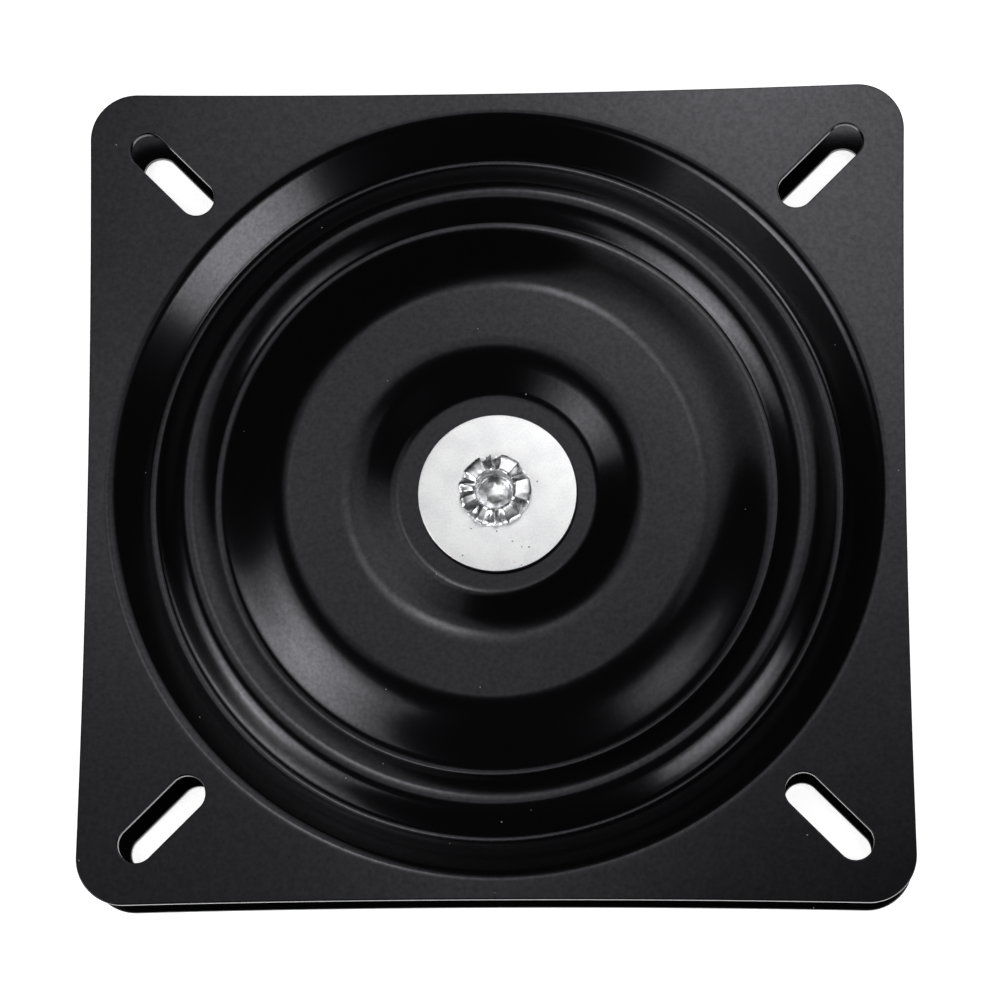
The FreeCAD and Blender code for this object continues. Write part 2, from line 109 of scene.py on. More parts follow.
# How deep a crease is at the bore, how far it draws the crimp in and how far a petal's
# wave lets it sag, as shares of the crease's depth and the wave.
BORE_SHARE = 0.25
CREASE_DRAW = 0.5
PETAL_SAG = 0.6

# Radius in millimetres and outward lean in degrees of the visible side, from the outer
# groove over the ridge and up the cone to the flat ring.
RIDGE_LEANS = (
    (74.38, 0), (73.9, 13), (73.5, 24), (73.0, 28), (72.2, 31), (71.4, 33.5), (70.6, 34),
    (69.6, 31), (67.1, 0), (64.3, -25), (63.3, -30), (62.3, -34.5), (61.5, -37.5),
    (61.15, -33), (60.57, 0), (60.07, 0), (59.4, 11), (58.8, 21), (58.0, 26), (57.0, 28),
    (56.3, 28.5), (55.0, 29.5), (53.8, 29), (52.6, 28), (51.4, 26), (50.1, 23), (48.9, 20),
    (RING_OUTER_RADIUS, 0),
)
RIDGE_STEP = 0.3

# Direction and half width in degrees and depth in millimetres of each crease in the
# crimp, and whether a ridge stands in its middle.
CREASES = (
    (97, 18, 1.3, True), (34, 15, 1.5, False), (-33, 12, 1.3, False), (-89, 21, 1.4, True),
    (-137, 15, 1.5, False), (-178, 11, 1.0, False), (157, 9, 1.0, False),
)

# Radius and height above the washer, in millimetres, of the crimp's outside from its
# foot up, and of its lip down into the bore.
CRIMP_OUTSIDE = (
    (6.6, 0.05), (7.4, 0.25), (7.8, 0.5), (7.95, 0.8), (7.95, 1.4), (7.82, 1.85), (7.5, 2.15),
    (7.0, 2.32), (6.3, 2.43), (5.6, 2.51), (5.0, 2.56),
)
CRIMP_LIP = (
    (4.6, 2.58), (4.3, 2.48), (4.08, 2.2), (3.92, 1.7), (3.84, 1.0), (BORE_RADIUS, 0.0),
    (BORE_RADIUS, -1.85), (3.6, -2.0),
)

# Heights of the upper washer's seat and of the crimp's foot, in millimetres.
UPPER_SEAT = TOTAL_HEIGHT - SEAT_DEPTH
CRIMP_BASE = UPPER_SEAT + WASHER_THICKNESS

# How finely the meshes are divided, and how near two points are welded, in metres.
PLATE_STEPS = 240
WASHER_STEPS = 180
RIVET_STEPS = 216
SLOT_STEPS = 48
BEVEL_STEPS = 3
ARC_STEP = math.radians(5)
WASHER_ARC_STEP = math.radians(18)
HEAD_ARC_STEP = math.radians(12)
SMOOTH_ANGLE = math.radians(32)
BEVEL_ANGLE = math.radians(50)
WELD_DISTANCE = 1e-6
SEAM_WELD_DISTANCE = 2e-6

# The studio, in metres; the floor glows this brightly to the camera and to reflections.
LAMP_DISTANCE = 1.2
FLOOR_SIDE = 6
FLOOR_LEVEL = -0.0002
FLOOR_GLOW = 0.85

# The camera's azimuth, tilt and roll in degrees, what it looks at and from how far in
# millimetres, and its focal length in widths of its sensor.
CAMERA_ANGLES = (-72.664, 11.202, 0.078)
CAMERA_TARGET = (1.231, -2.481, TOTAL_HEIGHT)
CAMERA_DISTANCE = 858.33
FOCAL_WIDTHS = 4.0
SENSOR_WIDTH = 36


# Colours and materials.

def colour(code):
    """An sRGB hex colour as a linear colour."""
    values = [int(code[i:i + 2], 16) / 255 for i in (1, 3, 5)]
    linear = [v / 12.92 if v <= 0.04045 else ((v + 0.055) / 1.055) ** 2.4 for v in values]
    return (*linear, 1.0)


def node(tree, kind, settings=None, links=None):
    """Adds a node, sets its properties and inputs, and links its inputs from other sockets."""
    new = tree.nodes.new(kind)
    for key, value in (settings or {}).items():
        if isinstance(key, str) and hasattr(new, key):
            setattr(new, key, value)
        else:
            new.inputs[key].default_value = value
    for key, socket in (links or {}).items():
        tree.links.new(socket, new.inputs[key])
    return new


def new_material(name):
    """An empty node material and its tree."""
    material = bpy.data.materials.new(name)
    material.use_nodes = True
    material.node_tree.nodes.clear()
    return material, material.node_tree


def speckle(tree, place, spacing, radius, share, weight=None):
    """1 on scattered round specks of this radius, 0 elsewhere; fewer where the weight is low."""
    cells = node(
        tree, "ShaderNodeTexVoronoi", {"Scale": 1 / (spacing * MM)}, {"Vector": place},
    )
    close = node(
        tree, "ShaderNodeMath", {"operation": "LESS_THAN", 1: radius / spacing},
        {0: cells.outputs["Distance"]},
    )
    draws = node(tree, "ShaderNodeSeparateColor", {}, {"Color": cells.outputs["Color"]})
    chosen = node(
        tree, "ShaderNodeMath", {"operation": "LESS_THAN", 1: share}, {0: draws.outputs["Red"]},
    )
    if weight:
        limit = node(tree, "ShaderNodeMath", {"operation": "MULTIPLY", 1: share}, {0: weight})
        tree.links.new(limit.outputs[0], chosen.inputs[1])
    both = node(
        tree, "ShaderNodeMath", {"operation": "MULTIPLY"},
        {0: close.outputs[0], 1: chosen.outputs[0]},
    )
    return both.outputs[0]


def make_powder_coat():
    """Black polyester powder coat, sprayed and baked on pressed steel."""
    # The eye sees a deep black gloss, mottled by its orange peel, with a little dust.
    material, tree = new_material("black_polyester_powder_coat")
    place = node(tree, "ShaderNodeTexCoord").outputs["Object"]
    # Orange peel of 1.3 mm with a mottle of 0.9 mm, over waves of 22 mm from the pressing.
    peel = node(
        tree, "ShaderNodeTexNoise", {"Scale": 1 / (1.3 * MM), "Detail": 2.0}, {"Vector": place},
    )
    draw = node(
        tree, "ShaderNodeTexNoise", {"Scale": 1 / (22 * MM), "Detail": 1.0}, {"Vector": place},
    )
    mottle = node(
        tree, "ShaderNodeTexNoise", {"Scale": 1 / (0.9 * MM), "Detail": 4.0}, {"Vector": place},
    )
    peel_bump = node(
        tree, "ShaderNodeBump", {"Strength": 1.0, "Distance": 0.0035 * MM},
        {"Height": peel.outputs["Fac"]},
    )
    draw_bump = node(
        tree, "ShaderNodeBump", {"Strength": 1.0, "Distance": 0.05 * MM},
        {"Height": draw.outputs["Fac"], "Normal": peel_bump.outputs["Normal"]},
    )
    # Real dust is too fine to show, so its specks are drawn 0.34 mm wide.
    dust = speckle(tree, place, 6.5, 0.17, 0.65)
    tint = node(
        tree, "ShaderNodeMix",
        {"data_type": "RGBA", "A": colour("#050506"), "B": colour("#77787c")},
        {"Factor": dust},
    )
    haze = node(
        tree, "ShaderNodeMapRange", {"To Min": 0.15, "To Max": 0.19},
        {"Value": draw.outputs["Fac"]},
    )
    gloss = node(
        tree, "ShaderNodeMapRange", {"To Min": 0.28, "To Max": 0.74},
        {"Value": mottle.outputs["Fac"]},
    )
    shader = node(
        tree, "ShaderNodeBsdfPrincipled", {"IOR": 1.375, "Specular Tint": colour("#f6f6ff")},
        {
            "Base Color": tint.outputs["Result"],
            "Roughness": haze.outputs["Result"],
            "Specular IOR Level": gloss.outputs["Result"],
            "Normal": draw_bump.outputs["Normal"],
        },
    )
    node(tree, "ShaderNodeOutputMaterial", {}, {"Surface": shader.outputs["BSDF"]})
    return material


def make_zinc_plate():
    """Bright zinc, plated on punched sheet steel."""
    # The eye sees a pale satin face with a fine grain and dark specks, thicker towards the front;
    # its edge and sides are painted dark, as painted reflection of the black seat and painted
    # shade.
    material, tree = new_material("bright_zinc_plated_steel")
    place = node(tree, "ShaderNodeTexCoord").outputs["Object"]
    # The plating's grain is too fine to show, so it is drawn as coarse as 0.45 mm.
    grain = node(
        tree, "ShaderNodeTexNoise", {"Scale": 1 / (0.45 * MM), "Detail": 3.0}, {"Vector": place},
    )
    cloud = node(
        tree, "ShaderNodeTexNoise", {"Scale": 1 / (5 * MM), "Detail": 2.0}, {"Vector": place},
    )
    grain_bump = node(
        tree, "ShaderNodeBump", {"Strength": 1.0, "Distance": 0.012 * MM},
        {"Height": grain.outputs["Fac"]},
    )
    mixed = node(
        tree, "ShaderNodeMath", {"operation": "ADD"},
        {0: grain.outputs["Fac"], 1: cloud.outputs["Fac"]},
    )
    frost = node(
        tree, "ShaderNodeMapRange", {"From Min": 0.75, "From Max": 1.2},
        {"Value": mixed.outputs[0]},
    )
    tone = node(
        tree, "ShaderNodeMix",
        {"data_type": "RGBA", "A": colour("#f0f0f2"), "B": colour("#ffffff")},
        {"Factor": frost.outputs["Result"]},
    )
    across = node(tree, "ShaderNodeSeparateXYZ", {}, {"Vector": place})
    front = node(
        tree, "ShaderNodeMapRange",
        {"From Min": -6 * MM, "From Max": -12 * MM, "To Min": 0.12, "To Max": 1.0},
        {"Value": across.outputs["Y"]},
    )
    specks = speckle(tree, place, 1.8, 0.17, 0.5, front.outputs["Result"])
    tint = node(
        tree, "ShaderNodeMix", {"data_type": "RGBA", "B": colour("#3a3a3c")},
        {"Factor": specks, "A": tone.outputs["Result"]},
    )
    # Painted reflection and shade: where the face leans more than about 30 degrees, on the rolled
    # edge and the sides, the colour is painted dark, standing in for the black seat reflected there
    # and the shade beside it.
    normal = node(tree, "ShaderNodeNewGeometry").outputs["Normal"]
    parts = node(tree, "ShaderNodeSeparateXYZ", {}, {"Vector": normal})
    level = node(tree, "ShaderNodeMath", {"operation": "ABSOLUTE"}, {0: parts.outputs["Z"]})
    rim = node(
        tree, "ShaderNodeMath", {"operation": "LESS_THAN", 1: 0.86}, {0: level.outputs[0]},
    )
    edge = node(
        tree, "ShaderNodeMix", {"data_type": "RGBA", "B": colour("#1d1d1f")},
        {"Factor": rim.outputs[0], "A": tint.outputs["Result"]},
    )
    haze = node(
        tree, "ShaderNodeMapRange", {"To Min": 0.42, "To Max": 0.56},
        {"Value": grain.outputs["Fac"]},
    )
    shader = node(
        tree, "ShaderNodeBsdfPrincipled", {"Metallic": 0.9},
        {
            "Base Color": edge.outputs["Result"],
            "Roughness": haze.outputs["Result"],
            "Normal": grain_bump.outputs["Normal"],
        },
    )
    node(tree, "ShaderNodeOutputMaterial", {}, {"Surface": shader.outputs["BSDF"]})
    return material


def make_rivet_steel():
    """Zinc-plated mild steel, burnished by the crimping tool."""
    # The eye sees bright metal with small smears, about 1.1 mm wide.
    material, tree = new_material("burnished_rivet_steel")
    place = node(tree, "ShaderNodeTexCoord").outputs["Object"]
    smear = node(
        tree, "ShaderNodeTexNoise", {"Scale": 1 / (1.1 * MM), "Detail": 3.0}, {"Vector": place},
    )
    smear_bump = node(
        tree, "ShaderNodeBump", {"Strength": 1.0, "Distance": 0.012 * MM},
        {"Height": smear.outputs["Fac"]},
    )
    tint = node(
        tree, "ShaderNodeMix",
        {"data_type": "RGBA", "A": colour("#c4c5c8"), "B": colour("#f4f4f6")},
        {"Factor": smear.outputs["Fac"]},
    )
    haze = node(
        tree, "ShaderNodeMapRange", {"To Min": 0.2, "To Max": 0.36},
        {"Value": smear.outputs["Fac"]},
    )
    shader = node(
        tree, "ShaderNodeBsdfPrincipled", {"Metallic": 1.0},
        {
            "Base Color": tint.outputs["Result"],
            "Roughness": haze.outputs["Result"],
            "Normal": smear_bump.outputs["Normal"],
        },
    )
    node(tree, "ShaderNodeOutputMaterial", {}, {"Surface": shader.outputs["BSDF"]})
    return material


def make_bearing_steel():
    """Ground and polished bearing steel."""
    # The eye sees a mirror, hazy with oil in patches of about 2 mm.
    material, tree = new_material("polished_bearing_steel")
    place = node(tree, "ShaderNodeTexCoord").outputs["Object"]
    film = node(
        tree, "ShaderNodeTexNoise", {"Scale": 1 / (2 * MM), "Detail": 2.0}, {"Vector": place},
    )
    haze = node(
        tree, "ShaderNodeMapRange", {"To Min": 0.06, "To Max": 0.16},
        {"Value": film.outputs["Fac"]},
    )
    shader = node(
        tree, "ShaderNodeBsdfPrincipled", {"Metallic": 1.0, "Base Color": colour("#c9cbd0")},
        {"Roughness": haze.outputs["Result"]},
    )
    node(tree, "ShaderNodeOutputMaterial", {}, {"Surface": shader.outputs["BSDF"]})
    return material


def make_nylon():
    """Natural nylon, moulded."""
    # The eye sees a milky satin with a faint grain.
    material, tree = new_material("moulded_natural_nylon")
    place = node(tree, "ShaderNodeTexCoord").outputs["Object"]
    # The mould's grain is too fine to show, so it is drawn as coarse as 0.6 mm.
    grain = node(
        tree, "ShaderNodeTexNoise", {"Scale": 1 / (0.6 * MM), "Detail": 2.0}, {"Vector": place},
    )
    grain_bump = node(
        tree, "ShaderNodeBump", {"Strength": 1.0, "Distance": 0.01 * MM},
        {"Height": grain.outputs["Fac"]},
    )
    tint = node(
        tree, "ShaderNodeMix",
        {"data_type": "RGBA", "A": colour("#e3ded0"), "B": colour("#ece8dc")},
        {"Factor": grain.outputs["Fac"]},
    )
    shader = node(
        tree, "ShaderNodeBsdfPrincipled", {"Roughness": 0.45, "IOR": 1.53},
        {"Base Color": tint.outputs["Result"], "Normal": grain_bump.outputs["Normal"]},
    )
    node(tree, "ShaderNodeOutputMaterial", {}, {"Surface": shader.outputs["BSDF"]})
    return material


# Helpers for modelling.

def deselect():
    """Nothing is selected and nothing is being edited."""
    if bpy.context.object and bpy.context.object.mode != "OBJECT":
        bpy.ops.object.mode_set(mode="OBJECT")
    bpy.ops.object.select_all(action="DESELECT")


def activate(piece):
    """Only this piece is selected and active."""
    deselect()
    piece.select_set(True)
    bpy.context.view_layer.objects.active = piece


def pick(piece, kind, test):
    """Selects only those vertices, edges or faces of the edited piece that pass the test."""
    bpy.ops.mesh.select_mode(type={"vertices": "VERT", "edges": "EDGE", "polygons": "FACE"}[kind])
    bpy.ops.mesh.select_all(action="DESELECT")
    bpy.ops.object.mode_set(mode="OBJECT")
    for item in getattr(piece.data, kind):
        item.select = test(item)
    bpy.ops.object.mode_set(mode="EDIT")


def apply_modifier(piece, kind, **settings):
    """Adds a modifier with these settings and applies it."""
    activate(piece)
    modifier = piece.modifiers.new(kind.lower(), kind)
    for key, value in settings.items():
        setattr(modifier, key, value)
    bpy.ops.object.modifier_apply(modifier=modifier.name)


def finish_piece(piece, name, material, body):
    """Places, smooths, names, paints and mounts a finished piece."""
    activate(piece)
    bpy.ops.object.transform_apply(location=True, rotation=True, scale=True)
    bpy.ops.object.shade_smooth_by_angle(angle=SMOOTH_ANGLE)
    piece.name = name
    piece.data.name = name
    piece.data.materials.clear()
    piece.data.materials.append(material)
    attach(piece, body)


def draw_section(points, closed):
    """Draws an edge chain through (radius, height) points by extruding one corner after another."""
    deselect()
    corners = [Vector((r * MM, 0, z * MM)) for r, z in points]
    bpy.ops.mesh.primitive_plane_add(size=MM, location=corners[0])
    bpy.ops.object.mode_set(mode="EDIT")
    bpy.ops.mesh.select_mode(type="VERT")
    bpy.ops.mesh.select_all(action="SELECT")
    bpy.ops.mesh.merge(type="CENTER")
    for corner, following in zip(corners, corners[1:]):
        bpy.ops.mesh.extrude_region_move(TRANSFORM_OT_translate={"value": following - corner})
    if closed:
        last = len(corners) - 1
        pick(bpy.context.object, "vertices", lambda vertex: vertex.index in (0, last))
        bpy.ops.mesh.edge_face_add()
    bpy.ops.mesh.select_all(action="SELECT")
    return bpy.context.object


def turn_section(points, steps, closed=False):
    """A solid of revolution about the swivel axis from (radius, height) points."""
    piece = draw_section(points, closed)
    activate(piece)
    bpy.ops.object.transform_apply(location=True, rotation=True, scale=True)
    bpy.ops.object.mode_set(mode="EDIT")
    bpy.ops.mesh.select_all(action="SELECT")
    bpy.ops.mesh.spin(steps=steps, angle=2 * math.pi, center=(0, 0, 0), axis=(0, 0, 1))
    bpy.ops.mesh.select_all(action="SELECT")
    bpy.ops.mesh.remove_doubles(threshold=WELD_DISTANCE)
    bpy.ops.mesh.normals_make_consistent(inside=False)
    bpy.ops.object.mode_set(mode="OBJECT")
    return piece


def arc_points(centre, radius, start, end, step=ARC_STEP):
    """Points along an arc, both ends included."""
    count = max(2, math.ceil(abs(end - start) / step))
    angles = [start + (end - start) * i / count for i in range(count + 1)]
    return [(centre[0] + radius * math.cos(a), centre[1] + radius * math.sin(a)) for a in angles]


# The pressed plates.

def race_crest():
    """Level and bend radius of the ridge over the balls, on the visible side."""
    level = -TOTAL_HEIGHT / 2 + BALL_DIAMETER / 2 + BALL_PLAY + SHEET
    return level, BALL_DIAMETER / 2 + RACE_RELIEF + SHEET


def groove_beside_race(side, tilt, run):
    """Radius and level of a groove that the ridge's flank runs down to at this tilt in degrees."""
    level, bend = race_crest()
    reach = bend + TROUGH_BEND
    lean = math.radians(tilt)
    across = RACE_RADIUS + side * (reach * math.sin(lean) + run * math.cos(lean))
    return across, level - bend + reach * math.cos(lean) - run * math.sin(lean) - TROUGH_BEND


OUTER_TROUGH = groove_beside_race(1, *OUTER_FLANK)
INNER_TROUGH = groove_beside_race(-1, *INNER_FLANK)
DISH_RADIUS = OUTER_TROUGH[0] + RIM_RUN + FLANGE_LAP


def press_bends():
    """Centre, radius on the visible side, and +1 for a crown or -1 for a groove, rim inwards."""
    rows = (
        (OUTER_TROUGH[0] + RIM_RUN, 0.0, RIM_BEND, 1),
        (*OUTER_TROUGH, TROUGH_BEND, -1),
        (RACE_RADIUS, *race_crest(), 1),
        (*INNER_TROUGH, TROUGH_BEND, -1),
        (INNER_TROUGH[0] - TROUGH_FLAT, INNER_TROUGH[1], CONE_FOOT_BEND, -1),
        (RING_OUTER_RADIUS, -RING_DROP, RING_OUTER_BEND, 1),
        (RING_INNER_RADIUS, -RING_DROP, RING_INNER_BEND, 1),
        (SEAT_RADIUS, -SEAT_DEPTH, SEAT_BEND, -1),
    )
    return [
        ((across, level - side * radius), radius, side)
        for across, level, radius, side in rows
    ]


def wall_tilt(first, second):
    """How far the wall between two bends leans, as the tilt of its upward normal."""
    apart = Vector(first[0]) - Vector(second[0])
    offset = second[1] * second[2] - first[1] * first[2]
    lean = math.atan2(apart.x, apart.y)
    spread = math.acos(offset / apart.length)
    return min(lean - spread, lean + spread, key=abs)


def ridge_points():
    """The visible side's points from the outer groove over the ridge to the flat ring."""
    points = [(RIDGE_LEANS[0][0], 0.0)]
    for (start, lean), (end, next_lean) in zip(RIDGE_LEANS, RIDGE_LEANS[1:]):
        steps = max(1, round((start - end) / RIDGE_STEP))
        run = (start - end) / steps
        for i in range(steps):
            middle = math.radians(lean + (next_lean - lean) * (i + 0.5) / steps)
            across, level = points[-1]
            points.append((across - run, level + run * math.tan(middle)))
    crest = max(level for across, level in points if across > INNER_TROUGH[0])
    points = [(across, level + race_crest()[0] - crest) for across, level in points]
    foot, ring = INNER_TROUGH[0], points[-1][0]
    short = -RING_DROP - points[-1][1]
    return [
        (across, level + short * max(0.0, (foot - across) / (foot - ring)))
        for across, level in points
    ]


def bend_arcs(bends, depth):
    """The arcs of these bends at this depth; the sheet is level before and after them."""
    tilts = [0.0, *[wall_tilt(a, b) for a, b in zip(bends, bends[1:])], 0.0]
    points = []
    for ((across, level), radius, side), before, after in zip(bends, tilts, tilts[1:]):
        if abs(after - before) > 1e-9:
            start, end = math.pi / 2 - before, math.pi / 2 - after
            points += arc_points((across, level), side * radius - depth, start, end)
    return points


def press_surface(depth):
    """The pressed section at this depth below the visible side, from the rim to the rivet hole."""
    bends = press_bends()
    if depth:
        middle = bend_arcs(bends, depth)
    else:
        ridge = ridge_points()
        groove = ((ridge[0][0], ridge[0][1] + TROUGH_BEND), TROUGH_BEND, -1)
        middle = bend_arcs([bends[0], groove], 0.0) + ridge[1:] + bend_arcs(bends[-2:], 0.0)
    return [(DISH_RADIUS, -depth), *middle, (HOLE_RADIUS, -SEAT_DEPTH - depth)]


def bow_sides(piece):
    """Draws the middle of each side slightly inwards, as pressing the dish does."""
    reach = (PLATE_SIDE / 2 - CORNER_RADIUS) * MM
    for vertex in piece.data.vertices:
        for this, other in ((0, 1), (1, 0)):
            along = vertex.co[other]
            if abs(along) <= reach and abs(vertex.co[this]) > reach:
                draw = SIDE_BOW * MM * (1 - (along / reach) ** 2)
                vertex.co[this] -= math.copysign(draw, vertex.co[this])


def flange_blank():
    """The square sheet with round corners and bowed sides."""
    deselect()
    bpy.ops.mesh.primitive_plane_add(size=PLATE_SIDE * MM, location=(0, 0, 0))
    piece = bpy.context.object
    bpy.ops.object.mode_set(mode="EDIT")
    bpy.ops.mesh.select_all(action="SELECT")
    bpy.ops.mesh.bevel(
        affect="VERTICES", offset=CORNER_RADIUS * MM, segments=CORNER_STEPS, profile=0.5,
    )
    long_side = PLATE_SIDE * MM / 2

    def is_side(edge):
        a, b = (piece.data.vertices[i].co for i in edge.vertices)
        return (a - b).length > long_side

    pick(piece, "edges", is_side)
    bpy.ops.mesh.subdivide(number_cuts=SIDE_CUTS)
    bpy.ops.object.mode_set(mode="OBJECT")
    bow_sides(piece)
    bpy.ops.object.mode_set(mode="EDIT")
    bpy.ops.mesh.select_all(action="SELECT")
    bpy.ops.mesh.extrude_region_move(TRANSFORM_OT_translate={"value": (0, 0, -SHEET * MM)})
    bpy.ops.mesh.select_all(action="SELECT")
    bpy.ops.mesh.normals_make_consistent(inside=False)
    bpy.ops.object.mode_set(mode="OBJECT")
    return piece


def slot_punch():
    """A round-ended punch that lies along X, its middle on the origin."""
    deselect()
    bpy.ops.mesh.primitive_cylinder_add(
        vertices=SLOT_STEPS, radius=SLOT_WIDTH / 2 * MM, depth=4 * SHEET * MM,
        location=(0, 0, 0), rotation=(0, 0, math.pi / SLOT_STEPS),
    )
    punch = bpy.context.object
    bpy.ops.object.transform_apply(location=True, rotation=True, scale=True)
    bpy.ops.object.mode_set(mode="EDIT")
    run = (SLOT_LENGTH - SLOT_WIDTH) / 2 * MM
    for side in (1, -1):
        pick(punch, "vertices", lambda vertex: vertex.co.x * side > 0)
        bpy.ops.transform.translate(value=(side * run, 0, 0))
    bpy.ops.object.mode_set(mode="OBJECT")
    return punch


def cut_with(piece, cutter):
    """Cuts the cutter's shape out of the piece and throws the cutter away."""
    apply_modifier(piece, "BOOLEAN", object=cutter, operation="DIFFERENCE", solver="EXACT")
    bpy.data.objects.remove(cutter)


def press_plate():
    """One whole pressing: punched flange and pressed dish, merged into one closed sheet."""
    flange = flange_blank()
    deselect()
    bpy.ops.mesh.primitive_cylinder_add(
        vertices=PLATE_STEPS, radius=DISH_RADIUS * MM, depth=4 * SHEET * MM,
        location=(0, 0, 0),
    )
    cut_with(flange, bpy.context.object)
    reach = SLOT_PITCH / math.sqrt(2) * MM
    for corner in range(4):
        punch = slot_punch()
        angle = math.radians(45 + 90 * corner)
        turn = Matrix.Rotation(angle, 4, "Z") @ Matrix.Translation((reach, 0, 0))
        punch.data.transform(turn)
        cut_with(flange, punch)
    section = press_surface(0.0) + press_surface(SHEET)[::-1]
    dish = turn_section(section, PLATE_STEPS)
    deselect()
    dish.select_set(True)
    flange.select_set(True)
    bpy.context.view_layer.objects.active = flange
    bpy.ops.object.join()
    bpy.ops.object.mode_set(mode="EDIT")

    def is_inner_wall(face):
        corners = [flange.data.vertices[i].co for i in face.vertices]
        upright = abs(face.normal.z) < 0.1
        on_seam = all(abs(c.xy.length - DISH_RADIUS * MM) < 0.01 * MM for c in corners)
        return upright and on_seam

    pick(flange, "polygons", is_inner_wall)
    bpy.ops.mesh.delete(type="FACE")
    bpy.ops.mesh.select_all(action="SELECT")
    bpy.ops.mesh.remove_doubles(threshold=SEAM_WELD_DISTANCE)
    bpy.ops.mesh.normals_make_consistent(inside=False)
    bpy.ops.object.mode_set(mode="OBJECT")
    apply_modifier(
        flange, "BEVEL", width=EDGE_ROUND * MM, segments=BEVEL_STEPS,
        limit_method="ANGLE", angle_limit=BEVEL_ANGLE,
    )
    return flange


def copy_piece(piece):
    """A copy with a mesh of its own."""
    twin = piece.copy()
    twin.data = piece.data.copy()
    bpy.context.scene.collection.objects.link(twin)
    return twin


# The rivet and its washers.

def washer_section(level):
    """A punched washer: rolled over at the top edge, sharp below."""
    low, high = level, level + WASHER_THICKNESS
    outer, inner, soft = WASHER_RADIUS, WASHER_BORE, WASHER_ROUND
    rim = arc_points((outer - soft, high - soft), soft, math.pi / 2, 0.0, WASHER_ARC_STEP)
    foot = [(outer, low + WASHER_BURR), (outer - WASHER_BURR, low)]
    return [(inner, high), *rim, *foot, (inner, low)]


def make_washer(level):
    """One of the rivet's washers."""
    return turn_section(washer_section(level), WASHER_STEPS, closed=True)


def rivet_section():
    """The rivet from its factory head, up the shank, over the crimp and down the bore."""
    head_top = SEAT_DEPTH - WASHER_THICKNESS
    head_low = head_top - HEAD_HEIGHT
    corner = (HEAD_RADIUS - HEAD_ROUND, head_low + HEAD_ROUND)
    points = [(0.0, head_low)]
    points += arc_points(corner, HEAD_ROUND, -math.pi / 2, 0.0, HEAD_ARC_STEP)
    points += [(HEAD_RADIUS, head_top - HEAD_CHAMFER), (HEAD_RADIUS - HEAD_CHAMFER, head_top)]
    points += [(SHANK_RADIUS, head_top), (SHANK_RADIUS, CRIMP_BASE)]
    across = [DOME_STEP * i for i in range(DOME_RINGS, -1, -1)]
    dome = [(r, DOME_TOP - DOME_CURVE * r ** 2) for r in across]
    points += [(r, CRIMP_BASE + h) for r, h in (*CRIMP_OUTSIDE, *CRIMP_LIP, *dome)]
    return points


def crease_depth(angle):
    """How deep the tool's creases cut in this direction, in millimetres."""
    deepest = 0.0
    for direction, width, depth, ridged in CREASES:
        off = abs((angle - direction + 180) % 360 - 180) / width
        if off < 1:
            share = 1 - abs(2 * off - 1) if ridged else 1 - off
            deepest = max(deepest, depth * share)
    return deepest


def crimp_tail(piece):
    """Folds the tail's lip into petals with creases between them, and leaves its bore uneven."""
    for vertex in piece.data.vertices:
        height = vertex.co.z / MM - CRIMP_BASE
        radius = vertex.co.xy.length / MM
        if radius < BORE_INSIDE and height > -BORE_DEPTH:
            ripple = noise.noise(vertex.co / (BORE_RIPPLE_WIDTH * MM))
            vertex.co.z += ripple * BORE_RIPPLE * MM
        if height < CRIMP_FOOT or radius < BORE_OUTSIDE:
            continue
        angle = math.degrees(math.atan2(vertex.co.y, vertex.co.x))
        outward = min(1.0, max(0.0, (radius - FOLD_RADIUS) / FOLD_RUN))
        near_foot = min(1.0, height)
        cut = crease_depth(angle) * (BORE_SHARE + (1 - BORE_SHARE) * outward) * near_foot
        cut = min(cut, height - CRIMP_FOOT)
        wave = noise.noise(vertex.co / (PETAL_WAVE_WIDTH * MM)) * PETAL_WAVE
        scale = (radius - cut * CREASE_DRAW * outward + wave * near_foot) / radius
        vertex.co.x *= scale
        vertex.co.y *= scale
        vertex.co.z -= (cut + abs(wave) * PETAL_SAG) * MM


def make_rivet():
    """The whole rivet, its tail crimped into a star."""
    rivet = turn_section(rivet_section(), RIVET_STEPS)
    crimp_tail(rivet)
    activate(rivet)
    bpy.ops.object.mode_set(mode="EDIT")
    bpy.ops.mesh.select_all(action="SELECT")
    bpy.ops.mesh.normals_make_consistent(inside=False)
    bpy.ops.object.mode_set(mode="OBJECT")
    return rivet


def paint_node(name, material):
    """Gives a kept CAD node its material and smooth shading."""
    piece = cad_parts[name]
    piece.modifiers.new("weld", "WELD").merge_threshold = WELD_DISTANCE
    piece.data.materials.clear()
    piece.data.materials.append(material)
    activate(piece)
    bpy.ops.object.shade_smooth()


# Building the object.

